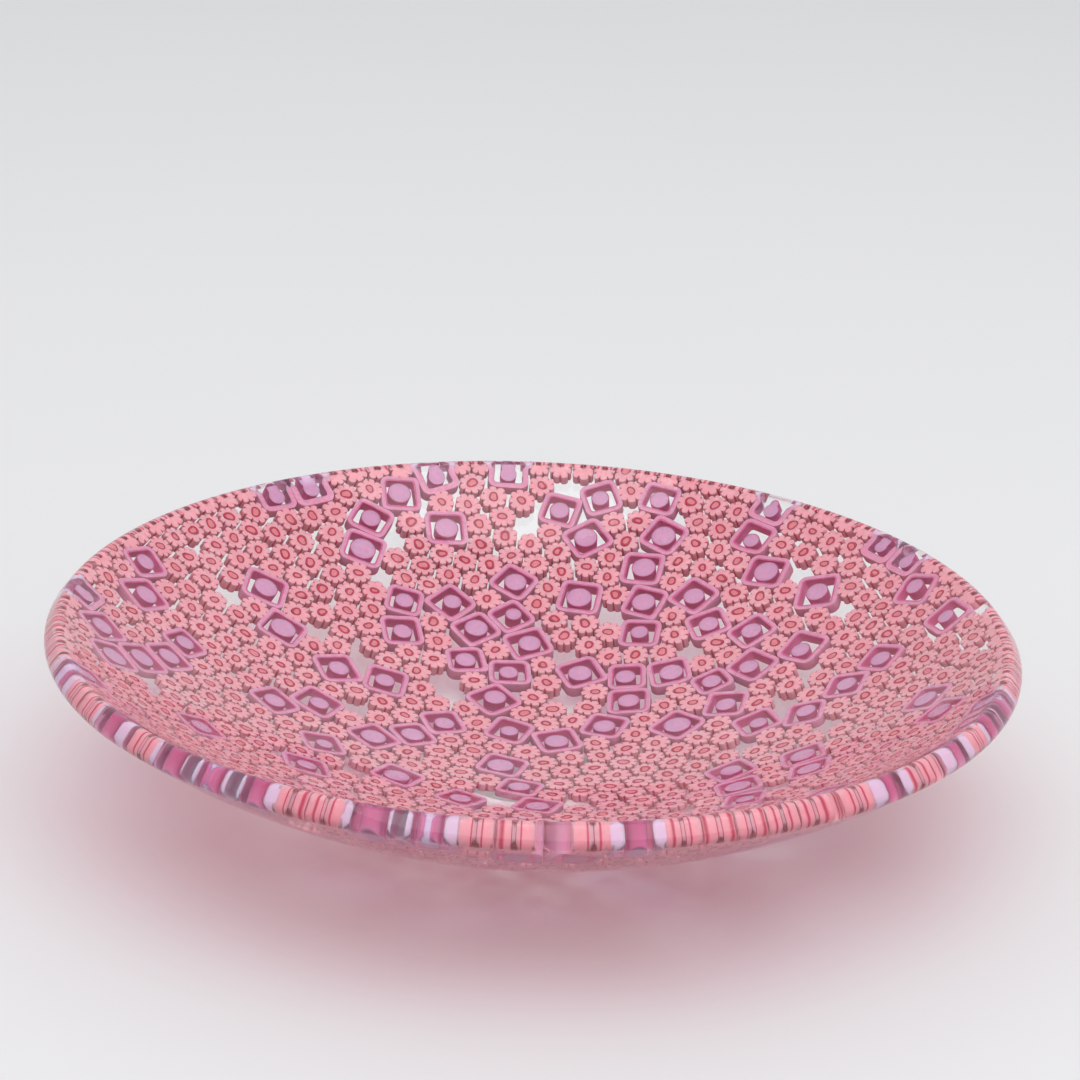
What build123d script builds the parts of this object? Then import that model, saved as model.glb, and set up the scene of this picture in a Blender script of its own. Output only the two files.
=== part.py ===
"""Murrine glass bowl: slices of patterned cane fused edge to edge in clear glass and slumped into a dome.

Every slice of cane is made of separate glasses that were pulled together. A flower slice has a round body of
petal glass, a ring and a heart. A square slice has a skin, a lining, a clear window, and a heart in a thin
coat. The slices stand on end in the wall of the bowl. Clear glass fills the gaps and covers them.

Frame: origin at the middle of the ground foot, +Z up through the open side, millimetres.
"""

from build123d import *
import os
from math import atan, cos, pi, radians, sin, sqrt, tan

import numpy as np

# The bowl
RIM_RADIUS = 150.0  # widest radius
RIM_SLOPE = radians(40.0)  # slope of the wall where the rim is ground
RIM_ROUNDING = 2.6  # radius on both edges of the ground rim, left by fire polishing
WALL = 8.0  # thickness of the fused glass
FOOT_RADIUS = 24.0  # the flat ground on the underside, on which the bowl stands
CASING = 0.5  # clear glass over the slices
END_CLEARANCE = 0.2  # filling glass between a slice's end and the casing
RIM_END_CLEARANCE = 1.0  # the same for slices that the rim cuts, clear of its rounded edges
RIM_CLEARANCE = 0.8  # filling glass between a cut slice and the casing at the rim
GLASS_BETWEEN = 0.35  # least clear glass between two slices

# The slices of cane
FLOWER_COUNT = 660
FLOWER_RADIUS = 4.6
FLOWER_RADIUS_SPREAD = 0.35
RING_OUTER = 0.42  # outer radius of a flower's ring, as a share of the flower's radius
RING_INNER = 0.31
RING_INSET = 0.45  # petal glass left between a ring and the cut at the rim
LEAST_FLAT = 0.95  # a slice that keeps more than this share of its radius at the rim stays round, but smaller
SQUARE_SIDE = 14.2
SQUARE_SIDE_SPREAD = 1.0
SQUARE_STIFFNESS = 0.35  # how much of the squeeze from its neighbours a square throws off at each step
SQUARE_ROUNDING = 2.8  # radius of its corners
LEAST_ROUNDING = 0.6  # the same on the inside of the lining
ROUNDED_SHARE = 0.45  # how much of a short side a rounding at one of its ends may take
LEAST_CORNER = 0.25  # a corner that stands less than this out of the straight line is left out
SKIN_WIDTH = 1.25
LINING_WIDTH = 0.55
HEART_RADII = (0.19, 0.29)  # least and most radius of a square's heart, as a share of its side
HEART_SHIFT = 0.06  # how far off the middle of its window it may be, as a share of the side
HEART_COAT = 0.35
HEART_CLEARANCE = 0.4  # least window glass between the lining and the heart's coat

# How the slices were laid on the flat map of the bowl, before they settled against each other:
# squares stand in short rows, each given by its first square's x and y, its heading in degrees, and its count
SQUARE_ROWS = [
    (-35, 155, 10, 2),
    (10, 148, 0, 2),
    (42, 145, -75, 2),
    (-92, 130, 25, 2),
    (-50, 143, -40, 2),
    (-58, 125, -95, 2),
    (87, 135, -125, 2),
    (22, 128, 0, 1),
    (40, 112, -90, 3),
    (28, 100, 0, 1),
    (118, 88, -15, 2),
    (142, 64, 0, 1),
    (83, 97, 0, 1),
    (-10, 102, -75, 2),
    (-38, 90, 25, 2),
    (-38, 75, 10, 2),
    (5, 76, -35, 3),
    (-22, 62, 10, 2),
    (-12, 50, 0, 1),
    (57, 89, -50, 3),
    (96, 77, 0, 1),
    (75, 53, 0, 2),
    (37, 60, -110, 3),
    (56, 50, 0, 1),
    (-61, 43, 20, 2),
    (-100, 73, 0, 1),
    (-87, 50, 0, 1),
    (-138, 50, -90, 2),
    (-29, 34, 225, 3),
    (-69, 17, 190, 2),
    (-124, 24, -105, 3),
    (-152, 16, -60, 3),
    (-3, 27, 0, 2),
    (-8, 6, -60, 3),
    (-20, -25, 0, 1),
    (-40, -11, 0, 1),
    (67, 36, -60, 2),
    (53, 25, 0, 1),
    (86, 26, 0, 3),
    (140, 32, 0, 1),
    (67, -11, -90, 3),
    (85, -16, -85, 2),
    (132, -12, -70, 2),
    (152, -60, -105, 3),
    (-59, 3, 0, 1),
    (-71, -29, 0, 1),
    (-110, -35, 0, 1),
    (-56, -71, -30, 2),
    (-152, -57, -90, 1),
    (-128, -96, -50, 3),
    (-84, -134, -30, 2),
    (-50, -150, -10, 2),
    (-4, -154, 0, 3),
    (112, -112, -45, 2),
    (30, -60, -60, 3),
    (-20, -105, 20, 3),
    (95, -75, -120, 2),
    (60, -125, 10, 2),
]
ROW_SPACING = 14.5

# How they settled
SETTLING_STEPS = 500
SETTLING_SPEED = 0.22  # share of an overlap that each of the two slices gives way at a step
START_SWELLING = 0.25  # how much too large the slices start
SWELLING_STEPS = 333  # over how many steps they shrink to size
NEIGHBOUR_REACH = 4.5 * FLOWER_RADIUS  # slices further apart than this can't touch for some steps
NEIGHBOUR_STEPS = 10  # how many
LEAST_FLOWER = 2.4  # a flower squeezed smaller than this is left out
LEAST_CUT = 2.0  # a slice cut by the rim keeps at least this much beyond its middle
MAP_SEED = 5
HEART_SEED = 3

# The wall lies between two spheres about one centre, and the rim is ground square to it
RIM_REACH = (RIM_RADIUS - RIM_ROUNDING * (1 - cos(RIM_SLOPE))) / sin(RIM_SLOPE)
OUTER = RIM_ROUNDING + sqrt(RIM_REACH**2 + RIM_ROUNDING**2)
INNER = OUTER - WALL
CENTRE_Z = sqrt(OUTER**2 - FOOT_RADIUS**2)
SLICE_TOP = INNER + CASING + END_CLEARANCE  # from the spheres' centre to a slice's upper end
SLICE_BASE = OUTER - CASING - END_CLEARANCE
FOOT_TOP = CENTRE_Z - CASING - END_CLEARANCE  # how far under that centre a slice over the foot may reach

# The map is stereographic, so slices keep their shape on it, and grow a little towards the rim
MAP_RADIUS = 2 * SLICE_TOP * tan(RIM_SLOPE / 2)

RIM_LIMIT = 2 * SLICE_TOP * tan((RIM_SLOPE - CASING / OUTER - RIM_CLEARANCE / SLICE_TOP) / 2)

# A slice is in the band that its middle lies in: the band's name and the map radius where it ends
BANDS = [("centre", 34.0), ("inner", 66.0), ("middle", 98.0), ("outer", 130.0), ("rim", 1000.0)]


def dish(depth):
    """The bowl's solid with its whole surface moved into the glass by depth."""
    inner = INNER + depth
    outer = OUTER - depth
    floor = CENTRE_Z - depth
    slope = RIM_SLOPE - depth / OUTER
    foot = sqrt(outer**2 - floor**2)

    def at(radius, angle):
        return (radius * sin(angle), CENTRE_Z - radius * cos(angle))

    foot_angle = atan(foot / floor)
    outline = [
        Line((0, depth), (foot, depth)),
        ThreePointArc((foot, depth), at(outer, (foot_angle + slope) / 2), at(outer, slope)),
        Line(at(outer, slope), at(inner, slope)),
        ThreePointArc(at(inner, slope), at(inner, slope / 2), at(inner, 0)),
        Line(at(inner, 0), (0, depth)),
    ]
    section = make_face(outline)
    rim_corners = section.vertices().sort_by(Axis.X)[-2:]
    section = fillet(rim_corners, RIM_ROUNDING - depth)
    return revolve(Plane.XZ * section, Axis.Z)


def growth(place):
    """How much larger than life the map is at place."""
    return 1 + (place @ place) / (4 * SLICE_TOP**2)


def square_of_discs(turn):
    """Steps from a square's middle to its five discs, for a quarter side of 1: the corners, then the middle."""
    angles = turn + np.arange(4) * pi / 2
    corners = sqrt(2) * np.stack([np.cos(angles), np.sin(angles)], 1)
    return np.vstack([corners, [0, 0]])


def lay_slices(random):
    """Discs on the map, five to a square and then one to a flower: their places, true radii and owners."""
    places, radii = [], []
    for x, y, heading, count in SQUARE_ROWS:
        step = ROW_SPACING * np.array([cos(radians(heading)), sin(radians(heading))])
        for i in range(count):
            quarter = (SQUARE_SIDE + random.uniform(-1, 1) * SQUARE_SIDE_SPREAD) / 4
            middle = np.array([x, y]) + i * step
            places.extend(middle + quarter * square_of_discs(random.uniform(0, pi / 2)))
            radii.extend([quarter] * 4 + [2 * quarter])
    squares = len(places) // 5
    for _ in range(FLOWER_COUNT):
        angle = random.uniform(0, 2 * pi)
        reach = MAP_RADIUS * sqrt(random.uniform(0, 1))
        places.append(np.array([cos(angle), sin(angle)]) * reach)
        radii.append(FLOWER_RADIUS + random.uniform(-1, 1) * FLOWER_RADIUS_SPREAD)
    owners = np.concatenate([np.repeat(np.arange(squares), 5), squares + np.arange(FLOWER_COUNT)])
    return np.array(places), np.array(radii), owners


def neighbours(places, owners, reach):
    """Pairs of discs of different slices whose middles are nearer than reach."""
    order = np.argsort(places[:, 0])
    x = places[order, 0]
    last = np.searchsorted(x, x + reach)
    first = np.repeat(np.arange(len(x)), last - np.arange(len(x)) - 1)
    second = np.concatenate([np.arange(i + 1, end) for i, end in enumerate(last)])
    a, b = order[first], order[second]
    near = (np.abs(places[a, 1] - places[b, 1]) < reach) & (owners[a] != owners[b])
    return a[near], b[near]


def square_again(discs, quarter):
    """A squeezed square's five discs, drawn part of the way back to a true square."""
    middle = discs[:4].mean(0)
    arms = discs[:4] - middle
    turns = np.arctan2(arms[:, 1], arms[:, 0]) - np.arange(4) * pi / 2
    turn = np.arctan2(np.sin(turns).sum(), np.cos(turns).sum())
    true = middle + quarter * square_of_discs(turn)
    return discs + np.array([SQUARE_STIFFNESS] * 4 + [1])[:, None] * (true - discs)


def settle():
    """Pushes the slices apart on the map until they lie edge to edge, as they do in the kiln.
    They start a little swollen, which spreads them evenly."""
    places, radii, owners = lay_slices(np.random.default_rng(MAP_SEED))
    squares = (len(places) - FLOWER_COUNT) // 5
    for step in range(SETTLING_STEPS):
        if step % NEIGHBOUR_STEPS == 0:
            a, b = neighbours(places, owners, NEIGHBOUR_REACH)
        swelling = 1 + START_SWELLING * max(0, 1 - step / SWELLING_STEPS)
        scale = 1 + (places**2).sum(1) / (4 * SLICE_TOP**2)
        sizes = radii * scale * swelling + GLASS_BETWEEN / 2
        gap = places[a] - places[b]
        far = np.hypot(*gap.T)
        overlap = np.maximum(sizes[a] + sizes[b] - far, 0)
        push = SETTLING_SPEED * gap * (overlap / np.maximum(far, 1e-6))[:, None]
        np.add.at(places, a, push)
        np.add.at(places, b, -push)
        for i in range(squares):
            own = slice(5 * i, 5 * i + 5)
            places[own] = square_again(places[own], radii[5 * i] * scale[5 * i])
        out = np.hypot(*places.T)
        places *= np.minimum(1, (MAP_RADIUS - LEAST_CUT) / out)[:, None]
    return places, radii, squares


class Slice:
    """One slice on the map: a point inside it, its size there, and the straight limits of its outline."""

    def __init__(self, middle, size):
        self.middle = middle
        self.scale = growth(middle)
        self.size = size * self.scale
        self.limits = []
        self.at_rim = False

    def limit(self, outward, distance):
        """Keeps the slice within a line square to outward, at distance from its middle."""
        self.limits.append((outward, distance))


class Flower(Slice):
    """A round slice, as large as its limits let it be. Only the rim cuts it."""

    def radius(self):
        """Its true radius."""
        inside = self.limits[:-1] if self.at_rim else self.limits
        return min([self.size] + [distance for _, distance in inside]) / self.scale

    def reach(self):
        """How far its outline is from its middle."""
        return self.radius()

    def wire(self, share, inset):
        """Its outline at a share of its radius, with a flat where the rim cuts it, moved in by inset."""
        radius = share * self.radius()
        if not self.at_rim:
            return Wire([Edge.make_circle(radius)])
        outward, distance = self.limits[-1]
        flat = distance / self.scale - inset
        if flat > LEAST_FLAT * radius:
            return Wire([Edge.make_circle(min(radius, flat))])
        across = sqrt(radius**2 - flat**2) * np.array([-outward[1], outward[0]])
        ends = [tuple(flat * outward + across), tuple(flat * outward - across)]
        arc = Edge.make_three_point_arc(ends[0], tuple(-radius * outward), ends[1])
        return Wire([arc, Edge.make_line(ends[1], ends[0])])


def clipped(corners, outward, distance):
    """What a line square to outward, at distance from the origin, leaves of a convex outline."""
    beyond = [corner @ outward - distance for corner in corners]
    kept = []
    for i, corner in enumerate(corners):
        if beyond[i - 1] * beyond[i] < 0:
            share = beyond[i - 1] / (beyond[i - 1] - beyond[i])
            kept.append(corners[i - 1] + share * (corner - corners[i - 1]))
        if beyond[i] <= 0:
            kept.append(corner)
    return kept


def standing_out(corners, i):
    """How far a corner stands out of the straight line between its neighbours."""
    last, following = corners[i - 1], corners[(i + 1) % len(corners)]
    side = (following - last) / np.hypot(*(following - last))
    return abs(side[0] * (corners[i] - last)[1] - side[1] * (corners[i] - last)[0])


def rounded(corners, radius):
    """Arcs round the corners of a straight-sided outline, each as its start, middle and end. A corner between
    short sides is rounded less."""
    arcs = []
    for i, corner in enumerate(corners):
        back = corners[i - 1] - corner
        ahead = corners[(i + 1) % len(corners)] - corner
        shorter = min(np.hypot(*back), np.hypot(*ahead))
        back = back / np.hypot(*back)
        ahead = ahead / np.hypot(*ahead)
        half = np.arccos(back @ ahead) / 2
        trim = min(radius / tan(half), ROUNDED_SHARE * shorter)
        inward = (back + ahead) / np.hypot(*(back + ahead))
        depth = trim * tan(half) * (1 / sin(half) - 1)
        arcs.append((corner + trim * back, corner + depth * inward, corner + trim * ahead))
    return arcs


class Square(Slice):
    """A four-sided slice with round corners, and a round heart near the middle of its window."""

    def __init__(self, middle, size, heart_share, shift_share, shift_angle):
        super().__init__(middle, size)
        self.heart_size = heart_share * size
        self.heart_shift = shift_share * size * np.array([cos(shift_angle), sin(shift_angle)])

    def corners(self, inset):
        """The true-size corners of its outline with the sides moved in by inset."""
        far = 2 * self.size
        corners = [far * np.array(corner) for corner in ((-1, -1), (1, -1), (1, 1), (-1, 1))]
        for outward, distance in self.limits:
            corners = clipped(corners, outward, distance / self.scale - inset)
        while True:
            least = min(range(len(corners)), key=lambda i: standing_out(corners, i))
            if standing_out(corners, least) > LEAST_CORNER:
                return corners
            corners.pop(least)

    def arcs(self, inset):
        """The arcs round those corners."""
        return rounded(self.corners(inset), max(SQUARE_ROUNDING - inset, LEAST_ROUNDING))

    def reach(self):
        """How far its outline is from its middle."""
        return max(np.hypot(*point) for arc in self.arcs(0) for point in arc)

    def wire(self, inset):
        """Its outline, moved in by inset."""
        arcs = [[tuple(point) for point in arc] for arc in self.arcs(inset)]
        edges = []
        for i, arc in enumerate(arcs):
            edges.append(Edge.make_line(arcs[i - 1][2], arc[0]))
            edges.append(Edge.make_three_point_arc(*arc))
        return Wire(edges)

    def heart(self):
        """The middle and the radius of its heart."""
        window_inset = SKIN_WIDTH + LINING_WIDTH
        middle = np.mean(self.corners(window_inset), 0) + self.heart_shift
        taken = window_inset + HEART_CLEARANCE + HEART_COAT
        room = min(distance / self.scale - taken - middle @ outward for outward, distance in self.limits)
        return middle, min(self.heart_size, room)

    def heart_wire(self, coat):
        """The outline of its heart with a coat round it."""
        middle, radius = self.heart()
        return Wire([Edge.make_circle(radius + coat, Plane(origin=tuple(middle)))])


def corners_of(discs, quarter):
    """The corners of the four-sided outline round a square's discs."""
    middle = discs[:4].mean(0)
    arms = discs[:4] - middle
    lengths = np.hypot(*arms.T)[:, None]
    return middle + arms * (1 + quarter * sqrt(2) / lengths)


def sides_of(corners):
    """A point on each side of a four-sided outline, and the side's outward normal."""
    for a, b in zip(corners, np.roll(corners, -1, 0)):
        side = (b - a) / np.hypot(*(b - a))
        yield a, np.array([side[1], -side[0]])


def parting_side(corners, others):
    """The side of one square that best keeps another out: how far off that is, a point and its normal."""
    best = (-np.inf, None, None)
    for point, outward in sides_of(corners):
        clear = ((others - point) @ outward).min()
        if clear > best[0]:
            best = (clear, point, outward)
    return best


def part_squares(one, other, corners_one, corners_other):
    """Limits two squares where they meet."""
    clear, point, outward = parting_side(corners_one, corners_other)
    clear_back, point_back, outward_back = parting_side(corners_other, corners_one)
    if clear_back > clear:
        clear, point, outward = clear_back, point_back + clear_back * outward_back, -outward_back
    if clear < GLASS_BETWEEN:
        line = point + clear / 2 * outward
        one.limit(outward, (line - one.middle) @ outward - GLASS_BETWEEN / 2)
        other.limit(-outward, (other.middle - line) @ outward - GLASS_BETWEEN / 2)


def limit_flower_by_square(flower, corners):
    """Flattens a flower where it lies against a square."""
    best = (-np.inf, None)
    for point, outward in sides_of(corners):
        best = max(best, ((flower.middle - point) @ outward, tuple(outward)))
    if best[0] < flower.size + GLASS_BETWEEN:
        flower.limit(-np.array(best[1]), best[0] - GLASS_BETWEEN)


def part_flowers(one, other):
    """Flattens two flowers where they meet."""
    apart = other.middle - one.middle
    far = np.hypot(*apart)
    room = far - one.size - other.size
    if room < GLASS_BETWEEN:
        one.limit(apart / far, one.size + (room - GLASS_BETWEEN) / 2)
        other.limit(-apart / far, other.size + (room - GLASS_BETWEEN) / 2)


def slices_of_bowl():
    """All the squares and all the flowers, with their limits."""
    random = np.random.default_rng(HEART_SEED)
    places, radii, square_count = settle()
    squares, corners = [], []
    for i in range(square_count):
        discs = places[5 * i : 5 * i + 5]
        outline = corners_of(discs, radii[5 * i] * growth(discs[4]))
        heart = random.uniform(*HEART_RADII), random.uniform(0, HEART_SHIFT), random.uniform(0, 2 * pi)
        square = Square(outline.mean(0), 4 * radii[5 * i], *heart)
        for point, outward in sides_of(outline):
            square.limit(outward, (point - square.middle) @ outward)
        squares.append(square)
        corners.append(outline)
    flowers = []
    for middle, radius in zip(places[5 * square_count :], radii[5 * square_count :]):
        flowers.append(Flower(middle, radius))
    for i, one in enumerate(squares):
        for j in range(i + 1, len(squares)):
            if np.hypot(*(one.middle - squares[j].middle)) < one.size + squares[j].size:
                part_squares(one, squares[j], corners[i], corners[j])
        for flower in flowers:
            if np.hypot(*(one.middle - flower.middle)) < one.size + flower.size:
                limit_flower_by_square(flower, corners[i])
    for i, one in enumerate(flowers):
        for other in flowers[i + 1 :]:
            if abs(one.middle[0] - other.middle[0]) < one.size + other.size + GLASS_BETWEEN:
                part_flowers(one, other)
    for one in squares + flowers:
        out = np.hypot(*one.middle)
        if RIM_LIMIT - out < one.size + RIM_ROUNDING:
            one.limit(one.middle / out, RIM_LIMIT - out)
            one.at_rim = True
    return squares, [one for one in flowers if one.radius() > LEAST_FLOWER]


def frame_of(one):
    """The plane of a slice's upper end, with its x and y along the map's, and how long the slice is."""
    reach = one.reach()
    out = np.hypot(*one.middle)
    outward = np.append(one.middle / out, 0)
    lean = 2 * atan(out / (2 * SLICE_TOP))
    down = outward * sin(lean) - np.array([0, 0, cos(lean)])
    up_wall = outward * cos(lean) + np.array([0, 0, sin(lean)])
    along = np.cross([0, 0, 1], outward)
    clearance = RIM_END_CLEARANCE - END_CLEARANCE if one.at_rim else 0
    top = SLICE_TOP + clearance
    base = sqrt((SLICE_BASE - clearance) ** 2 - reach**2)
    base = min(base, (FOOT_TOP - reach * sin(lean)) / cos(lean))
    origin = np.array([0, 0, CENTRE_Z]) + down * top
    x_axis = up_wall * outward[0] - along * outward[1]
    return Plane(origin=tuple(origin), x_dir=tuple(x_axis), z_dir=tuple(-down)), base - top


def prism(frame, length, outer, hole=None):
    """A straight length of glass down from frame."""
    face = Face(outer, [hole] if hole else [])
    return frame.location * Solid.extrude(face, Vector(0, 0, -length))


def flower_pieces(one):
    """A flower slice's petals, ring and heart, and the slot that it fills."""
    frame, length = frame_of(one)
    edge = one.wire(1, 0)
    ring = one.wire(RING_OUTER, RING_INSET)
    heart = one.wire(RING_INNER, RING_INSET + (RING_OUTER - RING_INNER) * one.radius())
    return {
        "flower_petals": prism(frame, length, edge, ring),
        "flower_rings": prism(frame, length, ring, heart),
        "flower_hearts": prism(frame, length, heart),
    }, prism(frame, length, edge)


def square_pieces(one):
    """A square slice's skin, lining, window, heart coat and heart, and the slot that it fills."""
    frame, length = frame_of(one)
    edge = one.wire(0)
    lining = one.wire(SKIN_WIDTH)
    window = one.wire(SKIN_WIDTH + LINING_WIDTH)
    coat = one.heart_wire(HEART_COAT)
    heart = one.heart_wire(0)
    return {
        "square_skins": prism(frame, length, edge, lining),
        "square_linings": prism(frame, length, lining, window),
        "square_windows": prism(frame, length, window, coat),
        "square_heart_coats": prism(frame, length, coat, heart),
        "square_hearts": prism(frame, length, heart),
    }, prism(frame, length, edge)


def band_of(one):
    """The name of the band that a slice is in."""
    out = np.hypot(*one.middle)
    return next(name for name, edge in BANDS if out < edge)


def save(name, solids):
    """Writes one node's solids."""
    export_step(solids[0] if len(solids) == 1 else Compound(solids), f"parts/{name}.step")


os.makedirs("parts", exist_ok=True)

squares, flowers = slices_of_bowl()
nodes, slots = {}, []
for one in flowers + squares:
    pieces, slot = flower_pieces(one) if isinstance(one, Flower) else square_pieces(one)
    slots.append(slot)
    for kind, solid in pieces.items():
        nodes.setdefault(f"{band_of(one)}_{kind}", []).append(solid)

layer = dish(CASING)
nodes["clear_casing"] = [dish(0) - layer]
nodes["filling_glass"] = [layer - slots]
for name, solids in nodes.items():
    save(name, solids)
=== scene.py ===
"""A murrine glass bowl on a pale table: slices of flower cane and square cane fused in clear glass.

Each slice is read from the frame, and drawn again as the separate glasses it was pulled from, bent to the bowl's
wall, pressed against its neighbours and cut by the rim. Metres, +Z up, the bowl's foot at the origin.
"""
import math

import bpy
import numpy as np
from mathutils import Matrix, Vector


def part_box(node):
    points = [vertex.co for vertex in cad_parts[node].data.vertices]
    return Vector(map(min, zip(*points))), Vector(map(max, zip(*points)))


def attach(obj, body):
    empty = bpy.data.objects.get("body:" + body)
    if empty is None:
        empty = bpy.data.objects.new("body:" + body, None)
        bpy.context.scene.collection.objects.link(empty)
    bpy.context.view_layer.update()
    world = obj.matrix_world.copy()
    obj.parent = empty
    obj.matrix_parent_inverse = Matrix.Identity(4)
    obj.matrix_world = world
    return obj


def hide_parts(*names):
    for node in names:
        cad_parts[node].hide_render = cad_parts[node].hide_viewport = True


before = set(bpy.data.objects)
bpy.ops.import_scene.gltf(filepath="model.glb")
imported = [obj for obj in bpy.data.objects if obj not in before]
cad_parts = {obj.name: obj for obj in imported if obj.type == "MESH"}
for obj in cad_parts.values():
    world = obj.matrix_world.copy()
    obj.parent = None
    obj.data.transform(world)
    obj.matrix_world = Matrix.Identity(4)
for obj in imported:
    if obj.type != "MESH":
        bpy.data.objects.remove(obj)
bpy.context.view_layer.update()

MM = 0.001
SAME_PLACE = 0.002 * MM  # vertices no further apart than this are one

# The bowl, as the frame has it
RIM_SLOPE = math.radians(40)
RIM_ROUNDING = 2.6 * MM
WALL = 8 * MM
FOOT_RADIUS = 24 * MM
RIM_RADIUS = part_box("clear_casing")[1].x
RIM_REACH = (RIM_RADIUS - RIM_ROUNDING * (1 - math.cos(RIM_SLOPE))) / math.sin(RIM_SLOPE)
OUTER = RIM_ROUNDING + math.hypot(RIM_REACH, RIM_ROUNDING)
INNER = OUTER - WALL
CENTRE = np.array([0, 0, math.sqrt(OUTER**2 - FOOT_RADIUS**2)])
SLICE_TOP = INNER + 0.7 * MM

# All slices
BANDS = ["centre", "inner", "middle", "outer", "rim"]
COVER = 0.15 * MM  # clear glass over the ends of the slices
JOIN = 0.06 * MM  # clear glass left where two slices are pressed together
SHARPNESS = 9  # how sharp a slice's corners are between the neighbours that press on it
CUT_SHARES = np.array([0, 0.02, 0.06, 0.12, 0.2, 0.32, 0.68, 0.8, 0.88, 0.94, 0.98, 1])  # rows of a cut slice
CUT_STRETCH = (1.1, 1.7)  # least and most that a cut slice is pulled out towards the rim
RANDOM = np.random.default_rng(21)

# The flower slices
FLOWER_SPREAD = 5.0 * MM  # how far a flower spreads where nothing stops it
RIM_SPREAD = 1.2  # how much further it spreads at the rim
RIM_FLOWER_REACH = 1.3 * FLOWER_SPREAD  # a flower nearer than this to the rim may be cut
PETAL_COUNTS = [8, 9, 9, 10]
PETAL_STEPS = 6
VALLEY_DEPTH = 0.17  # of the notches between petals, as a share of the flower's radius
PETAL_SHARES = np.array([0, 0.03, 0.3, 0.7, 0.97, 1])
PETAL_SWELL = np.array([0.955, 1.0, 0.975, 0.965, 0.98, 0.94])
PETAL_BORDER = 1.0 * MM  # how far in the marks between petals fade
RING_RADIUS = 1.85 * MM
RING_WIDTH = 0.72 * MM
CUT_RING_WIDTH = 0.6  # how much thinner the ring of a cut flower is
GRAZED_RING = (0.55, 1.2)  # a ring that the rim would graze, by the rim's distance in ring radii
CLEARED_RING = 0.8  # how much of that distance such a ring is made to reach
CRESCENT_SHARE = 0.45  # how many flowers have a clear crescent between petals and ring
CRESCENT_WIDTH = 0.5 * MM
ROD_SHARES = np.array([0, 0.5, 1])

# The square slices
SQUARE_STEPS = 56
SQUARE_SHARES = np.array([0, 0.03, 0.3, 0.7, 0.97, 1])
SKIN_SWELL = np.array([0.08, 0.16, 0.12, 0.1, 0.12, 0.04]) * MM
WINDOW_WIDENING = 0.02  # of a square's window towards the underside
HEART_TAPER = 0.08
RIM_SQUARE_REACH = 1.7 * MM  # a square nearer than this to the rim is drawn out to it and cut
CUT_WINDOW = 0.78  # how much narrower the window of a cut square may be, for a thicker skin
CUT_HEART_ROOM = 0.5 * MM  # what stays clear round its heart
CUT_LINING = 0.08  # what its lining keeps of its width
CUT_COAT = 0.3  # what its heart's coat keeps
PAINTED_RIM_LIGHT_REACH = 6 * MM  # how far from the rim the squares are painted paler, as painted light at the rim

# The clear glass
SURFACE_STEP = 2.2 * MM
TURN_STEPS = 420
WAVE_HEIGHT = 0.05 * MM
WAVES = [(31 * MM, 0.5), (17 * MM, 0.35), (9 * MM, 0.25)]  # lengths and shares of the height


def solids(node):
    """The separate solids of a frame node, each as its vertices and its triangles."""
    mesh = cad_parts[node].data
    places = np.zeros(len(mesh.vertices) * 3)
    mesh.vertices.foreach_get("co", places)
    corners = np.zeros(len(mesh.loops), dtype=np.int64)
    mesh.loops.foreach_get("vertex_index", corners)
    keys = np.round(places.reshape(-1, 3) / SAME_PLACE).astype(np.int64)
    _, first, number = np.unique(keys, axis=0, return_index=True, return_inverse=True)
    places = places.reshape(-1, 3)[first]
    triangles = number.reshape(-1)[corners].reshape(-1, 3)
    label = np.arange(len(places))
    edges = np.concatenate([triangles[:, :2], triangles[:, 1:]])
    while True:
        low = np.minimum(label[edges[:, 0]], label[edges[:, 1]])
        before = label.copy()
        np.minimum.at(label, edges[:, 0], low)
        np.minimum.at(label, edges[:, 1], low)
        label = label[label]
        if (label == before).all():
            break
    order = np.argsort(label[triangles[:, 0]], kind="stable")
    owners = label[triangles[order, 0]]
    for own in np.split(triangles[order], np.flatnonzero(np.diff(owners)) + 1):
        used, renumbered = np.unique(own, return_inverse=True)
        yield places[used], renumbered.reshape(-1, 3)


class Slice:
    """A slice's place: its direction from the centre of the bowl's spheres, and axes across it."""

    def __init__(self, points, triangles):
        first, second, third = (points[triangles[:, i]] for i in range(3))
        normals = np.cross(second - first, third - first)
        facing = normals @ unit(points.mean(0) - CENTRE)
        ends = facing > 0.95 * np.linalg.norm(normals, axis=1)
        self.down = unit(normals[ends].sum(0))
        outward = unit(np.array([self.down[0], self.down[1], 0]))
        along = np.array([-outward[1], outward[0], 0])
        self.down_wall = np.cross(along, self.down)
        self.x = self.down_wall * outward[0] - along * outward[1]
        self.y = self.down_wall * outward[1] + along * outward[0]
        self.limits = []
        self.rim_way = -outward[:2]
        lean = math.atan2(math.hypot(self.down[0], self.down[1]), -self.down[2])
        self.rim_far = SLICE_TOP * math.tan(RIM_SLOPE - COVER / OUTER - lean)

    def flat(self, points):
        """Points as x and y across the slice."""
        across = points - CENTRE
        return np.stack([across @ self.x, across @ self.y], 1)

    def middle_of(self, other):
        """Where another slice's middle is, across this one."""
        return self.flat(CENTRE + other.down[None] * SLICE_TOP)[0]

    def limit(self, outward, distance):
        """Keeps the slice's outline on the near side of a line."""
        self.limits.append((outward, distance))

    def reach(self, angles, free):
        """How far the outline is from the middle at each angle, where free is how far it would go alone."""
        directions = np.stack([np.cos(angles), np.sin(angles)], 1)
        total = np.full(len(angles), free**-SHARPNESS)
        for outward, distance in self.limits:
            towards = np.maximum(directions @ outward, 1e-6)
            total = total + (distance / towards) ** -SHARPNESS
        return total ** (-1 / SHARPNESS)


def unit(vector):
    return vector / np.linalg.norm(vector)


def unit_rows(vectors):
    return vectors / np.linalg.norm(vectors, axis=-1, keepdims=True)


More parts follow.
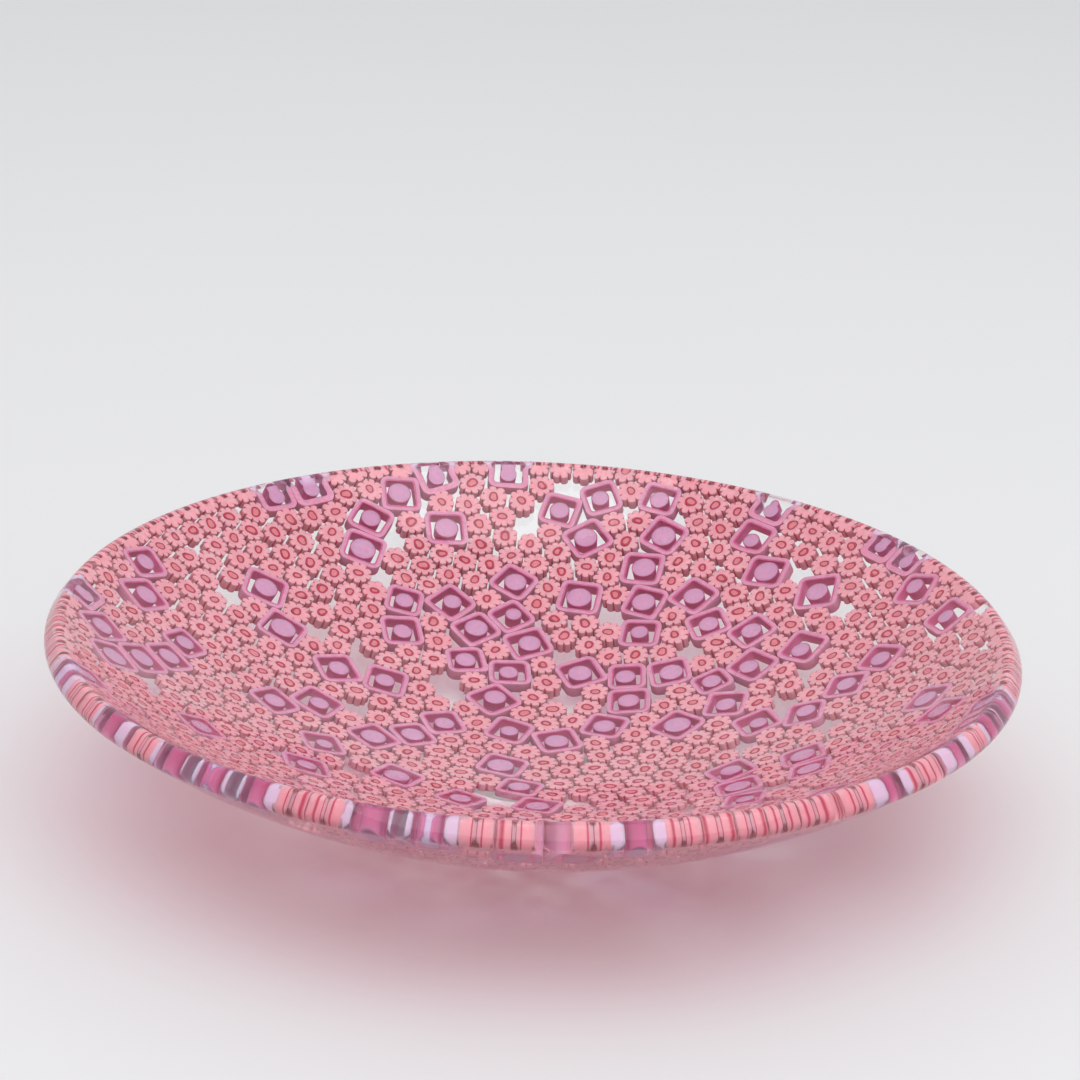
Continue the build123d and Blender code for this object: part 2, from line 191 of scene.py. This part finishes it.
def into_wall(one, flat, share):
    """Points across a slice, at a share of the way through the wall, in the bent wall of the bowl, cut by its
    ground rim and foot."""
    across = one.down * SLICE_TOP + flat[..., :1] * one.x + flat[..., 1:] * one.y
    across /= np.linalg.norm(across, axis=-1, keepdims=True)
    radius = INNER + COVER + share * (WALL - 2 * COVER)
    lean = np.arctan2(np.hypot(across[..., 0], across[..., 1]), -across[..., 2])
    turn = np.arctan2(across[..., 1], across[..., 0])
    # the rim is square to the wall, with rounded edges
    rounding = RIM_ROUNDING - COVER
    to_face = np.minimum(radius - INNER, OUTER - radius) - COVER
    in_corner = np.clip(rounding - to_face, 0, rounding)
    room = COVER + rounding - np.sqrt(rounding**2 - in_corner**2)
    lean = np.minimum(lean, RIM_SLOPE - room / radius)
    places = np.stack([np.sin(lean) * np.cos(turn), np.sin(lean) * np.sin(turn), -np.cos(lean)], -1)
    places = CENTRE + places * radius[..., None]
    places[..., 2] = np.maximum(places[..., 2], COVER)
    return places


def loops_of(points, triangles, one):
    """The outlines of a solid's upper end, outer and inner, as x and y across the slice."""
    heights = (points - CENTRE) @ one.down
    flat = one.flat(points)
    first, second, third = (points[triangles[:, i]] for i in range(3))
    normals = np.cross(second - first, third - first)
    sizes = np.linalg.norm(normals, axis=1)
    sides = (sizes > 1e-12) & (np.abs(normals @ one.down) < 0.5 * sizes)
    middles = flat[triangles].mean(1)
    facing = (normals @ one.x) * middles[:, 0] + (normals @ one.y) * middles[:, 1]
    top = heights < heights.min() + 0.1 * MM
    loops = [np.unique(triangles[sides & way]) for way in (facing > 0, facing < 0)]
    return [flat[loop[top[loop]]] for loop in loops]


def around(loop, angles):
    """How far a loop is from the slice's middle at each angle. The loop's points are joined by straight lines."""
    loop = loop[np.argsort(np.arctan2(loop[:, 1], loop[:, 0]))]
    steps_between = 12
    shares = np.arange(steps_between)[None, :, None] / steps_between
    loop = (loop[:, None] + shares * (np.roll(loop, -1, 0) - loop)[:, None]).reshape(-1, 2)
    own = np.arctan2(loop[:, 1], loop[:, 0])
    order = np.argsort(own)
    return np.interp(angles, own[order], np.hypot(*loop[order].T), period=2 * math.pi)


class Glass:
    """One kind of glass in one band: the mesh being built, and what marks its colour."""

    def __init__(self, name):
        self.name = name
        self.places, self.faces = [], []
        self.values = {"mark_and_rim_light": [], "depth": [], "tint": []}
        self.count = 0

    def add(self, places, faces, mark_and_rim_light, depth, tint):
        """Adds vertices with their marks (on the squares, painted rim light) and depths, and faces numbered from
        the first of them.
        """
        self.places.append(places)
        self.faces.extend([tuple(v + self.count for v in face) for face in faces])
        self.values["mark_and_rim_light"].append(mark_and_rim_light)
        self.values["depth"].append(depth)
        self.values["tint"].append(np.full(len(places), tint))
        self.count += len(places)

    def piece(self, material):
        """The finished piece."""
        mesh = bpy.data.meshes.new(self.name)
        mesh.from_pydata(np.concatenate(self.places).tolist(), [], self.faces)
        for key, parts in self.values.items():
            mesh.attributes.new(key, "FLOAT", "POINT").data.foreach_set("value", np.concatenate(parts))
        mesh.materials.append(material)
        piece = bpy.data.objects.new(self.name, mesh)
        bpy.context.scene.collection.objects.link(piece)
        return piece


def stretched(one, angles, radii, stretch):
    """Radii of an outline pulled out towards the rim."""
    towards = np.maximum(np.cos(angles - math.atan2(one.rim_way[1], one.rim_way[0])), 0)
    return radii * (1 + (stretch - 1) * towards**2)


def cut_by_rim(one, directions, radii, nominal):
    """What the rim leaves of an outline: the numbers of its points from the cut round to the cut, and for each row
    those points between the cut's two ends. None if the rim leaves it whole."""
    out = nominal * (directions @ one.rim_way)
    order = (int(np.argmax(out)) + np.arange(len(out))) % len(out)
    inside = np.flatnonzero(out[order] <= one.rim_far)
    if len(inside) == len(order):
        return None
    stretches = np.split(inside, np.flatnonzero(np.diff(inside) > 1) + 1)
    kept = order[max(stretches, key=len)]
    points = directions[None] * radii[..., None]
    ends = []
    for near, far in ((kept[0], (kept[0] - 1) % len(out)), (kept[-1], (kept[-1] + 1) % len(out))):
        share = (one.rim_far - out[near]) / max(out[far] - out[near], 1e-9)
        place = points[:, near] + np.clip(share, 0, 1) * (points[:, far] - points[:, near])
        ends.append(place + (one.rim_far - place @ one.rim_way)[:, None] * one.rim_way)
    return kept, np.concatenate([ends[0][:, None], points[:, kept], ends[1][:, None]], 1)


def joined(number, rows, count):
    """The faces of a cut piece whose outline, inset and hole or middle are numbered by row and point. The numbers
    of a middle have one point to a row."""
    wall, inset, inside = number
    hollow = inside.shape[1] > 1
    faces = []
    for row in range(rows - 1):
        a, b = wall[row], wall[row + 1]
        faces.extend((a[i], a[i + 1], b[i + 1], b[i]) for i in range(count - 1))
        if hollow:
            c, d = inside[row], inside[row + 1]
            faces.extend((c[i + 1], c[i], d[i], d[i + 1]) for i in range(count - 1))
            faces.extend([(a[-1], c[-1], d[-1], b[-1]), (c[0], a[0], b[0], d[0])])
        else:
            faces.append((a[-1], a[0], b[0], b[-1]))
    for end, row in enumerate([0, rows - 1]):
        edge, middle, hub = wall[row], inset[end], inside[row]
        caps = [(edge[i], middle[i], middle[i + 1], edge[i + 1]) for i in range(count - 1)]
        if hollow:
            caps.extend((middle[i], hub[i], hub[i + 1], middle[i + 1]) for i in range(count - 1))
        else:
            caps.extend((middle[i - 1], hub[0], middle[i]) for i in range(count))
        faces.extend([cap[::-1] for cap in caps] if end else caps)
    return faces


def draw_cut(glass, one, angles, outer, inner, shares, marks, tint, border):
    """Draws a slice's glass like draw, where the rim cuts it. Returns False if the rim leaves it whole."""
    directions = np.stack([np.cos(angles), np.sin(angles)], 1)
    cut = cut_by_rim(one, directions, outer, outer[1])
    if cut is None:
        return False
    kept, outside = cut
    hole = cut_by_rim(one, directions, inner, inner[1]) if inner is not None else None
    rows, count = outside.shape[:2]
    if inner is not None and hole is None:
        towards = np.maximum(directions @ one.rim_way, 1e-6)
        draw(glass, one, angles, np.minimum(outer, one.rim_far / towards), inner, shares, marks, tint, border)
        return True
    ends = [0, rows - 1]
    middle = one.rim_way * min(0, one.rim_far - 2 * MM)  # at least 2 mm from the cut
    between = outside[ends]
    arms = middle - between
    arms[:, [0, -1]] -= (arms[:, [0, -1]] @ one.rim_way)[..., None] * one.rim_way
    lengths = np.linalg.norm(arms, axis=2, keepdims=True)
    between = between + arms / np.maximum(lengths, 1e-9) * np.minimum(border, 0.3 * lengths)
    if hole:
        path = hole[1]
        at = np.linspace(0, path.shape[1] - 1, count)
        before = np.minimum(at.astype(int), path.shape[1] - 2)
        inside = path[:, before] + (at - before)[None, :, None] * (path[:, before + 1] - path[:, before])
    else:
        inside = np.repeat(middle[None, None], rows, 0)
    loops = [outside, between, inside]
    numbers, start = [], 0
    for loop in loops:
        numbers.append(np.arange(loop.shape[0] * loop.shape[1]).reshape(loop.shape[:2]) + start)
        start += loop.shape[0] * loop.shape[1]
    faces = joined(numbers, rows, count)
    depths = [np.repeat(shares[:, None], count, 1), np.repeat(shares[ends][:, None], count, 1),
              np.repeat(shares[:, None], inside.shape[1], 1)]
    places = [into_wall(one, loop, depth) for loop, depth in zip(loops, depths)]
    # The cut's two ends are set to depth 0, so the painted depth shade is kept off the rim's cut faces
    for depth in depths[::2]:
        depth[:, [0, -1]] = 0
    # Without marks of its own, a cut slice gets painted light instead: the mask rises towards the rim's cut, so
    # the slice is painted paler there
    if marks is None:
        from_rim = np.concatenate([one.rim_far - loop.reshape(-1, 2) @ one.rim_way for loop in loops])
        mark_and_rim_light = np.clip(1 - from_rim / PAINTED_RIM_LIGHT_REACH, 0, 1)
    else:
        rim_marks = np.concatenate([[0], marks[kept], [0]])
        mark_and_rim_light = np.concatenate([np.tile(rim_marks, rows), np.zeros(start - rows * count)])
    glass.add(np.concatenate([part.reshape(-1, 3) for part in places]), faces, mark_and_rim_light,
              np.concatenate([depth.reshape(-1) for depth in depths]), tint)
    return True


def draw(glass, one, angles, outer, inner, shares, marks, tint, border):
    """Draws a slice's glass between two outlines, or inside one if inner is None. Each outline has a row of radii
    for every share of the way through the wall. Marks, from 0 to 1, lie round the outside and fade out across
    border, or if they are None only the cut of a cut slice is marked, with painted light that pales it towards
    the rim. What the rim takes away is left out."""
    steps, rows = len(angles), len(shares)
    directions = np.stack([np.cos(angles), np.sin(angles)], 1)[None]
    hollow = inner is not None
    hub = inner if hollow else np.repeat((0.02 * outer.mean(1))[:, None], steps, 1)
    ends = [0, rows - 1]
    between = outer[ends] - np.minimum(border, 0.5 * (outer[ends] - hub[ends]))
    depths = [np.repeat(shares[:, None], steps, 1)] * 2 + [np.repeat(shares[ends][:, None], steps, 1)]
    parts = [into_wall(one, directions * radii[..., None], depth) for radii, depth in
             zip([outer, hub, between], depths)]
    gone = np.linalg.norm(parts[0] - parts[1], axis=2) < 1e-6
    number = [np.arange(rows * steps).reshape(rows, steps)]
    number.append(number[0] + rows * steps)
    number.append(np.arange(2 * steps).reshape(2, steps) + 2 * rows * steps)
    faces = []
    for i in range(steps):
        j = (i + 1) % steps
        for row in range(rows - 1):
            if hollow and gone[row : row + 2, [i, j]].all():
                continue
            a, b = number[0][row], number[0][row + 1]
            faces.append((a[i], a[j], b[j], b[i]))
            if hollow:
                a, b = number[1][row], number[1][row + 1]
                faces.append((a[j], a[i], b[i], b[j]))
        for end, row in enumerate(ends):
            if hollow and gone[row, i] and gone[row, j]:
                continue
            edge, middle, hole = number[0][row], number[2][end], number[1][row]
            quads = [(edge[i], middle[i], middle[j], edge[j]), (middle[i], hole[i], hole[j], middle[j])]
            faces.extend([quad[::-1] for quad in quads] if end else quads)
    if not hollow:
        faces.extend([tuple(number[1][0][::-1]), tuple(number[1][-1])])
    mark_and_rim_light = np.zeros((2 * rows + 2) * steps)
    if marks is not None:
        mark_and_rim_light[: rows * steps] = np.tile(marks, rows)
    glass.add(np.concatenate([part.reshape(-1, 3) for part in parts]), faces, mark_and_rim_light,
              np.concatenate([depth.reshape(-1) for depth in depths]), tint)


def slices_of(node):
    """The slices of one node, each with its outlines."""
    found = []
    for points, triangles in solids(node):
        one = Slice(points, triangles)
        one.loops = loops_of(points, triangles, one)
        found.append(one)
    return found


def match(one, others):
    """The slice among others that is one's own."""
    return others[int(np.argmax([other.down @ one.down for other in others]))]


# Reading the slices
flowers, squares = [], []
for band in BANDS:
    for one in slices_of(f"{band}_flower_petals"):
        one.band = band
        one.spread = FLOWER_SPREAD * RANDOM.uniform(0.95, 1.05)
        if one.rim_far < FLOWER_SPREAD:
            one.spread *= RIM_SPREAD
        flowers.append(one)
    linings, coats = slices_of(f"{band}_square_linings"), slices_of(f"{band}_square_heart_coats")
    for one in slices_of(f"{band}_square_skins"):
        one.band = band
        one.outlines = one.loops + match(one, linings).loops[1:] + match(one, coats).loops
        squares.append(one)

# Where they press against each other
flower_ways = np.array([one.down for one in flowers])


def flowers_near(one, distance):
    """The numbers of the flowers whose middles are within a distance of a slice's middle."""
    return np.flatnonzero(flower_ways @ one.down > math.cos(distance / SLICE_TOP))


for number, one in enumerate(flowers):
    for other_number in flowers_near(one, 2.5 * FLOWER_SPREAD):
        if other_number != number:
            other = flowers[other_number]
            apart = one.middle_of(other)
            far = np.hypot(*apart)
            one.limit(apart / far, far * one.spread / (one.spread + other.spread) - JOIN)
for square in squares:
    ways = unit_rows(square.down * SLICE_TOP + square.outlines[0] @ np.array([square.x, square.y]))
    outline = CENTRE + ways * SLICE_TOP
    for number in flowers_near(square, 3 * FLOWER_SPREAD):
        one = flowers[number]
        points = one.flat(outline)
        nearest = points[np.argmin(np.hypot(*points.T))]
        far = np.hypot(*nearest)
        if far < 1.5 * FLOWER_SPREAD:
            one.limit(nearest / far, far - JOIN)

glasses = {}


def glass(kind, band):
    return glasses.setdefault((kind, band), Glass(f"{kind}_{band}"))


def in_rows(radii, shares, new_shares):
    """An outline, given for each angle or in a row for each of shares, in a row for each of new_shares."""
    if radii is None:
        return None
    rows = radii * np.ones((len(shares), 1))
    return np.stack([np.interp(new_shares, shares, column) for column in rows.T], 1)


def draw_any(kind, one, angles, outer, inner, shares, marks, tint, border):
    """Draws one glass of a slice, cut by the rim if it reaches there. Outlines have a radius for each angle, and
    may have a row of them for each of shares."""
    if one.at_rim:
        outer, inner = (in_rows(radii, shares, CUT_SHARES) for radii in (outer, inner))
        shares = CUT_SHARES
        if draw_cut(glass(kind, one.band), one, angles, outer, inner, shares, marks, tint, border):
            return
    outer, inner = (in_rows(radii, shares, shares) for radii in (outer, inner))
    draw(glass(kind, one.band), one, angles, outer, inner, shares, marks, tint, border)


def draw_flower(one):
    """The petals, ring and heart of one flower slice."""
    steps = PETAL_STEPS * int(RANDOM.choice(PETAL_COUNTS))
    angles = RANDOM.uniform(0, 2 * math.pi) + np.arange(steps) * 2 * math.pi / steps
    petal = np.abs(np.cos(np.arange(steps) * math.pi / PETAL_STEPS))
    whole = one.reach(angles, one.spread)
    edge = whole * (1 - VALLEY_DEPTH * (1 - petal) ** 1.6)
    squeeze = min(1, whole.min() / (0.8 * FLOWER_SPREAD))
    phase, phase2 = RANDOM.uniform(0, 2 * math.pi, 2)
    oval = 1 + 0.13 * np.cos(2 * (angles - phase)) + 0.04 * np.cos(3 * (angles - phase2))
    ring = RING_RADIUS * RANDOM.uniform(0.85, 1.12) * squeeze * oval
    width = RING_WIDTH * RANDOM.uniform(0.75, 1.25) * squeeze
    tint = RANDOM.uniform()
    marks = (1 - petal) ** 2.5
    one.at_rim = one.rim_far < RIM_FLOWER_REACH
    if one.at_rim:
        stretch = RANDOM.uniform(*CUT_STRETCH)
        width = CUT_RING_WIDTH * width
        ring_reach = ring.mean() * stretch
        if GRAZED_RING[0] * ring_reach < one.rim_far < GRAZED_RING[1] * ring_reach:
            ring = ring * CLEARED_RING * one.rim_far / ring_reach
        edge, ring, core = (stretched(one, angles, radii, stretch) for radii in (edge, ring, ring - width))
    else:
        core = ring - width
    unmarked = np.zeros(steps)
    hole = ring
    if RANDOM.uniform() < CRESCENT_SHARE:
        hole = ring + CRESCENT_WIDTH * RANDOM.uniform(0.5, 1) * np.maximum(np.cos(angles - phase2), 0) ** 2
    draw_any("flower_petals", one, angles, edge * PETAL_SWELL[:, None], hole, PETAL_SHARES, marks, tint,
             PETAL_BORDER)
    draw_any("flower_rings", one, angles, ring, core, ROD_SHARES, unmarked, tint, 0.1 * MM)
    draw_any("flower_hearts", one, angles, core, None, ROD_SHARES, unmarked, tint, 0.3 * MM)


def draw_square(one):
    """The skin, lining, heart coat and heart of one square slice. Its window is left open."""
    angles = np.arange(SQUARE_STEPS) * 2 * math.pi / SQUARE_STEPS
    loops = [around(loop, angles) for loop in one.outlines]
    rim_angle = math.atan2(one.rim_way[1], one.rim_way[0])
    skin_reach, _, window_reach, _, _ = [around(loop, [rim_angle])[0] for loop in one.outlines]
    one.at_rim = skin_reach > one.rim_far - RIM_SQUARE_REACH
    if one.at_rim:
        stretch = one.rim_far / window_reach * RANDOM.uniform(*CUT_STRETCH)
        loops = [stretched(one, angles, loop, stretch) for loop in loops]
    skin, lining, window, coat, heart = loops
    if one.at_rim:
        window = window * min(1, max(CUT_WINDOW, ((coat + CUT_HEART_ROOM) / window).max()))
        lining = CUT_LINING * lining + (1 - CUT_LINING) * window
        coat = CUT_COAT * coat + (1 - CUT_COAT) * heart
    shares = SQUARE_SHARES[:, None]
    tint = RANDOM.uniform()
    widening = 1 + WINDOW_WIDENING * shares
    narrowing = 1 - HEART_TAPER * shares
    for kind, outer, inner, border in (
        ("square_skins", skin + SKIN_SWELL[:, None], lining, 0.3 * MM),
        ("square_linings", lining, window * widening, 0.2 * MM),
        ("square_heart_coats", coat * narrowing, heart * narrowing, 0.1 * MM),
        ("square_hearts", heart * narrowing, None, 0.4 * MM),
    ):
        draw_any(kind, one, angles, outer, inner, SQUARE_SHARES, None, tint, border)


for one in flowers:
    draw_flower(one)
for one in squares:
    draw_square(one)


# The clear glass
def clear_profile():
    """The bowl's section from the middle of the inside over the rim to the middle of the foot, as radius and
    height, with how wavy each place is."""
    points = []

    def arc(middle, radius, start, end, steps, wavy):
        for angle in np.linspace(start, end, steps, endpoint=False):
            points.append((middle[0] + radius * math.sin(angle), middle[1] - radius * math.cos(angle), wavy))

    def corner(radius):
        """The middle of a rim rounding against the sphere of that radius."""
        inside = radius + RIM_ROUNDING if radius == INNER else radius - RIM_ROUNDING
        lean = RIM_SLOPE - math.asin(RIM_ROUNDING / inside)
        return (inside * math.sin(lean), CENTRE[2] - inside * math.cos(lean)), lean

    upper, upper_lean = corner(INNER)
    lower, lower_lean = corner(OUTER)
    foot_lean = math.asin(FOOT_RADIUS / OUTER)
    sphere = (0, CENTRE[2])
    arc(sphere, INNER, 0.004, upper_lean, int(INNER * upper_lean / SURFACE_STEP), 1)
    arc(upper, RIM_ROUNDING, upper_lean + math.pi, RIM_SLOPE + math.pi / 2, 8, 0)
    arc(lower, RIM_ROUNDING, RIM_SLOPE + math.pi / 2, lower_lean, 8, 0)
    arc(sphere, OUTER, lower_lean, foot_lean, int(OUTER * (lower_lean - foot_lean) / SURFACE_STEP), 1)
    for share in (1, 0.97, 0.6, 0.3, 0.02):
        points.append((FOOT_RADIUS * share, 0, 0))
    return np.array(points)


def waves(places):
    """A gentle uneven height for each place, between about -1 and 1."""
    total = np.zeros(len(places))
    for length, height in WAVES:
        for _ in range(4):
            way = unit(RANDOM.normal(size=3))
            total += height * np.sin(places @ way * 2 * math.pi / length + RANDOM.uniform(0, 2 * math.pi)) / 2
    return total


def clear_body(material):
    """The clear glass of casing, filling and windows in one piece."""
    profile = clear_profile()
    turns = np.arange(TURN_STEPS) * 2 * math.pi / TURN_STEPS
    places = np.stack([np.outer(profile[:, 0], np.cos(turns)), np.outer(profile[:, 0], np.sin(turns)),
                       np.repeat(profile[:, 1:2], TURN_STEPS, 1)], -1).reshape(-1, 3)
    wavy = np.repeat(profile[:, 2], TURN_STEPS)
    ways = unit_rows(places - CENTRE)
    places = places + ways * (waves(places) * wavy * WAVE_HEIGHT)[:, None]
    rows = len(profile)
    faces = []
    for row in range(rows - 1):
        for i in range(TURN_STEPS):
            j = (i + 1) % TURN_STEPS
            a, b = row * TURN_STEPS, (row + 1) * TURN_STEPS
            faces.append((a + i, b + i, b + j, a + j))
    faces.append(tuple(range(TURN_STEPS)))
    faces.append(tuple(range((rows - 1) * TURN_STEPS, rows * TURN_STEPS))[::-1])
    mesh = bpy.data.meshes.new("clear_glass")
    mesh.from_pydata(places.tolist(), [], faces)
    mesh.polygons.foreach_set("use_smooth", [True] * len(mesh.polygons))
    mesh.materials.append(material)
    body = bpy.data.objects.new("clear_glass", mesh)
    bpy.context.scene.collection.objects.link(body)
    body.visible_shadow = False
    return body


# Materials
def srgb(red, green, blue):
    """A colour given as 0 to 255, as Blender's linear one."""
    shares = [value / 255 for value in (red, green, blue)]
    return [v / 12.92 if v <= 0.04045 else ((v + 0.055) / 1.055) ** 2.4 for v in shares] + [1]


class Nodes:
    """A material being put together."""

    def __init__(self, name):
        self.material = bpy.data.materials.new(name)
        self.material.use_nodes = True
        self.tree = self.material.node_tree
        self.shader = self.tree.nodes["Principled BSDF"]
        self.places = self.tree.nodes.new("ShaderNodeTexCoord").outputs["Object"]

    def set(self, **values):
        for key, value in values.items():
            self.shader.inputs[key.replace("_", " ")].default_value = value

    def attribute(self, name):
        node = self.tree.nodes.new("ShaderNodeAttribute")
        node.attribute_name = name
        return node.outputs["Fac"]

    def noise(self, scale, detail=2.0, distortion=0.0):
        node = self.tree.nodes.new("ShaderNodeTexNoise")
        node.inputs["Scale"].default_value = scale
        node.inputs["Detail"].default_value = detail
        node.inputs["Distortion"].default_value = distortion
        self.tree.links.new(self.places, node.inputs["Vector"])
        return node.outputs["Fac"]

    def ramp(self, factor, low, high, to_low=0.0, to_high=1.0):
        """Factor between low and high, spread from to_low to to_high."""
        node = self.tree.nodes.new("ShaderNodeMapRange")
        for key, value in zip(("From Min", "From Max", "To Min", "To Max"), (low, high, to_low, to_high)):
            node.inputs[key].default_value = value
        self.tree.links.new(factor, node.inputs["Value"])
        return node.outputs["Result"]

    def mix(self, factor, first, second):
        """First where factor is 0 and second where it is 1. Each is a colour or a socket."""
        node = self.tree.nodes.new("ShaderNodeMix")
        node.data_type = "RGBA"
        self.tree.links.new(factor, node.inputs["Factor"])
        for colour, key in ((first, 6), (second, 7)):
            if isinstance(colour, list):
                node.inputs[key].default_value = colour
            else:
                self.tree.links.new(colour, node.inputs[key])
        return node.outputs[2]

    def bump(self, height, strength, distance):
        node = self.tree.nodes.new("ShaderNodeBump")
        node.inputs["Strength"].default_value = strength
        node.inputs["Distance"].default_value = distance
        self.tree.links.new(height, node.inputs["Height"])
        self.tree.links.new(node.outputs["Normal"], self.shader.inputs["Normal"])

    def colour(self, socket):
        self.tree.links.new(socket, self.shader.inputs["Base Color"])


def coloured_glass(name, light, full, mark_and_rim_light_colour, painted_depth_shading, glow, through):
    """Half-opaque glass: light and full are its mottled colours, mark_and_rim_light_colour is its colour where it
    is marked (the flowers' own dark marks between petals, and on the squares a paler painted light near the rim),
    painted_depth_shading the colour painted on its lower end as painted shade with depth through the wall (darker
    for most glasses, paler for the linings and coats), glow how far light spreads in it, in metres, and through
    what each of its surfaces lets through of the light from the lamp."""
    nodes = Nodes(name)
    mottled = nodes.mix(nodes.ramp(nodes.noise(650, 3, 0.6), 0.3, 0.7), light, full)
    # Painted shade: towards the slice's lower end the colour turns to the painted depth colour, standing in for
    # the light and shade that fall there with depth
    with_painted_depth_shading = nodes.mix(nodes.ramp(nodes.attribute("depth"), 0.02, 0.9), mottled, painted_depth_shading)
    varied = nodes.mix(nodes.ramp(nodes.attribute("tint"), 0, 1, 0, 0.6), with_painted_depth_shading, full)
    # The flowers' marks between petals are their own colour; on the squares this mask is painted light, paler near
    # the rim
    nodes.colour(nodes.mix(nodes.ramp(nodes.attribute("mark_and_rim_light"), 0.15, 0.8), varied, mark_and_rim_light_colour))
    nodes.set(Roughness=0.6, Specular_IOR_Level=0.0, Subsurface_Weight=1.0, Subsurface_Scale=glow)
    nodes.shader.inputs["Subsurface Radius"].default_value = (1.0, 0.45, 0.5)
    passing = nodes.tree.nodes.new("ShaderNodeBsdfTransparent")
    passing.inputs["Color"].default_value = through
    mix = nodes.tree.nodes.new("ShaderNodeMixShader")
    nodes.tree.links.new(nodes.tree.nodes.new("ShaderNodeLightPath").outputs["Is Shadow Ray"], mix.inputs[0])
    nodes.tree.links.new(nodes.shader.outputs[0], mix.inputs[1])
    nodes.tree.links.new(passing.outputs[0], mix.inputs[2])
    nodes.tree.links.new(mix.outputs[0], nodes.tree.nodes["Material Output"].inputs["Surface"])
    return nodes.material


def clear_material():
    nodes = Nodes("clear_glass")
    nodes.set(Base_Color=(0.985, 0.98, 0.98, 1), Roughness=0.0, IOR=1.5, Transmission_Weight=1.0)
    nodes.bump(nodes.noise(120, 2), 0.15, 0.3 * MM)
    return nodes.material


PINK_LIGHT = (0.91, 0.75, 0.79, 1)
LILAC_LIGHT = (0.96, 0.87, 0.92, 1)
PLUM_LIGHT = (0.96, 0.85, 0.91, 1)
GLASS_COLOURS = {
    "flower_petals": coloured_glass("petal_pink_glass", srgb(249, 200, 207), srgb(242, 174, 185),
                                    srgb(208, 84, 114), srgb(240, 162, 177), 2.0 * MM, PINK_LIGHT),
    "flower_rings": coloured_glass("rose_glass", srgb(218, 84, 110), srgb(204, 64, 94), srgb(160, 40, 70),
                                   srgb(208, 94, 120), 0.6 * MM, PINK_LIGHT),
    "flower_hearts": coloured_glass("heart_pink_glass", srgb(248, 170, 176), srgb(240, 142, 152),
                                    srgb(215, 95, 125), srgb(232, 136, 154), 2.0 * MM, PINK_LIGHT),
    "square_skins": coloured_glass("lilac_pink_glass", srgb(242, 184, 208), srgb(230, 160, 190),
                                   srgb(232, 204, 226), srgb(214, 140, 176), 1.5 * MM, LILAC_LIGHT),
    "square_linings": coloured_glass("plum_glass", srgb(240, 126, 174), srgb(230, 110, 160),
                                     srgb(236, 136, 180), srgb(236, 152, 190), 1.2 * MM, PLUM_LIGHT),
    "square_heart_coats": coloured_glass("plum_coat_glass", srgb(228, 118, 166), srgb(214, 100, 150),
                                         srgb(236, 136, 180), srgb(232, 150, 186), 1.0 * MM, PLUM_LIGHT),
    "square_hearts": coloured_glass("lilac_glass", srgb(228, 182, 210), srgb(218, 166, 198),
                                    srgb(228, 202, 228), srgb(206, 150, 188), 2.0 * MM, LILAC_LIGHT),
}

for (kind, band), kind_glass in glasses.items():
    piece = kind_glass.piece(GLASS_COLOURS[kind])
    piece.data.polygons.foreach_set("use_smooth", [True] * len(piece.data.polygons))
    piece.data.set_sharp_from_angle(angle=math.radians(40))
    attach(piece, "root")
    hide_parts(f"{band}_{kind}")
body = clear_body(clear_material())
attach(body, "root")
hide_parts("clear_casing", "filling_glass", *[f"{band}_square_windows" for band in BANDS])


# The table, the light and the camera
def table():
    nodes = Nodes("table")
    nodes.colour(nodes.mix(nodes.noise(3, 2), srgb(240, 238, 238), srgb(236, 235, 236)))
    nodes.set(Roughness=0.7, Specular_IOR_Level=0.2)
    mesh = bpy.data.meshes.new("table")
    reach = 6.0
    mesh.from_pydata([(-reach, -reach, 0), (reach, -reach, 0), (reach, reach, 0), (-reach, reach, 0)], [],
                     [(0, 1, 2, 3)])
    mesh.materials.append(nodes.material)
    top = bpy.data.objects.new("table", mesh)
    bpy.context.scene.collection.objects.link(top)


def softbox(name, place, size, power):
    """A round softbox aimed at the bowl's foot."""
    lamp = bpy.data.lights.new(name, "AREA")
    lamp.shape = "DISK"
    lamp.size = size
    lamp.energy = power
    holder = bpy.data.objects.new(name, lamp)
    holder.location = place
    holder.rotation_euler = (-Vector(place)).to_track_quat("-Z", "Y").to_euler()
    bpy.context.scene.collection.objects.link(holder)


def camera():
    """Stands in front of the bowl and a little above, aimed over the middle of the rim, and slightly tilted."""
    rim_middle = Vector((0, 0, 54.5 * MM))
    distance, elevation, tilt = 0.93, math.radians(22.2), math.radians(2.41)
    aim_right, aim_up = 0.6 * MM, 27.5 * MM
    away = Vector((0, -math.cos(elevation), math.sin(elevation)))
    right = Vector((1, 0, 0))
    up = right.cross(-away)
    place = rim_middle + away * distance
    forward = (rim_middle + right * aim_right + up * aim_up - place).normalized()
    right = forward.cross(up).normalized()
    up = right.cross(forward)
    tilted_right = math.cos(tilt) * right + math.sin(tilt) * up
    tilted_up = math.cos(tilt) * up - math.sin(tilt) * right
    eye = bpy.data.cameras.new("camera")
    eye.lens = 100
    eye.sensor_width = 36
    holder = bpy.data.objects.new("camera", eye)
    turn = Matrix((tilted_right, tilted_up, -forward)).transposed().to_4x4()
    holder.matrix_world = Matrix.Translation(place) @ turn
    bpy.context.scene.collection.objects.link(holder)
    bpy.context.scene.camera = holder


table()
softbox("overhead", (0.3, -0.9, 2.2), 3.2, 32)
world = bpy.data.worlds.new("studio")
bpy.context.scene.world = world
world.use_nodes = True
background = world.node_tree.nodes["Background"].inputs
background["Color"].default_value = (0.95, 0.98, 1.0, 1)
background["Strength"].default_value = 0.66
camera()
bpy.context.scene.view_settings.view_transform = "Standard"
